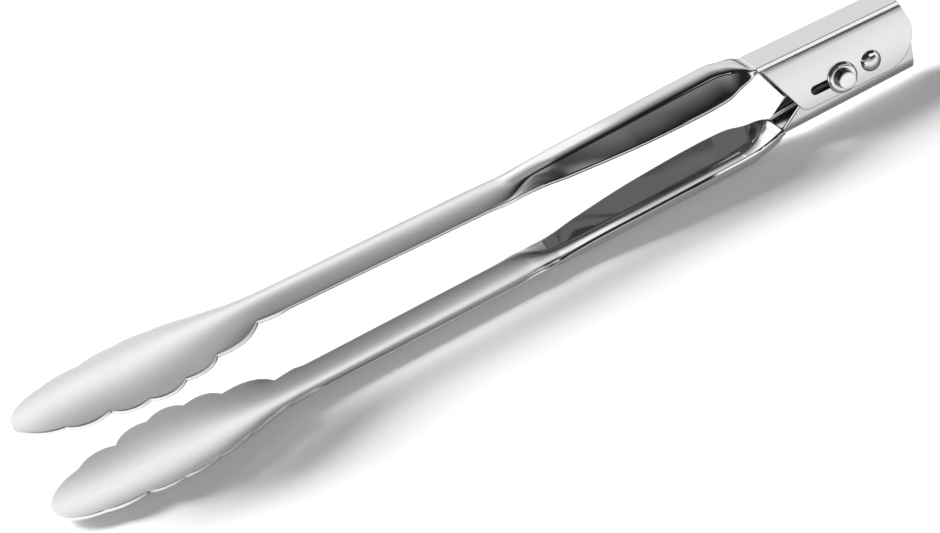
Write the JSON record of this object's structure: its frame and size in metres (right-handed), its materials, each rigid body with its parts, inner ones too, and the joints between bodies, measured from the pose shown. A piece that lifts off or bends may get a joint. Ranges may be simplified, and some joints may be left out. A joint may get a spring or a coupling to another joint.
{
  "type": "kitchen tongs",
  "caption": "Spring loaded steel kitchen tongs: scalloped scoops on channelled arms with flared grips, a riveted hinge with a torsion spring, and a sliding lock pin.",
  "frame": {"origin": "middle of the base of the bounding box, with the lower arm lying on its back on z = 0", "axes": "+X along the arms to the hinge end, +Y across the arms to the far side, +Z from the lower arm up to the upper arm"},
  "size_m": [0.305, 0.051, 0.0372],
  "materials": {
    "arm_steel": "satin scoops and shafts, polished grips and hinge plates",
    "polished_steel": "polished",
    "spring_steel": "bright drawn wire"
  },
  "bodies": {
    "lower": {"lower_arm": "arm_steel", "torsion_spring": "spring_steel"},
    "upper": {"upper_arm": "arm_steel", "hinge_rivet": "polished_steel", "pivot_sleeve": "polished_steel"},
    "lock": {"lock_pin": "polished_steel", "slide_washer_left": "polished_steel", "slide_washer_right": "polished_steel", "lock_button_left": "polished_steel", "lock_button_right": "polished_steel"}
  },
  "joints": [
    {"name": "arm_hinge", "type": "hinge", "parent": "lower", "child": "upper", "pos_m": [0.13595, 0, 0.0154], "axis": [0, 1, 0], "range_deg": [-5.5, 15], "stiffness_Nm_per_rad": 0.6, "springref_deg": 13.15, "deforming": ["torsion_spring"]},
    {"name": "lock_slide", "type": "slide", "parent": "upper", "child": "lock", "axis": [-0.9995, 0, 0.0314], "range_m": [0, 0.0096]}
  ]
}
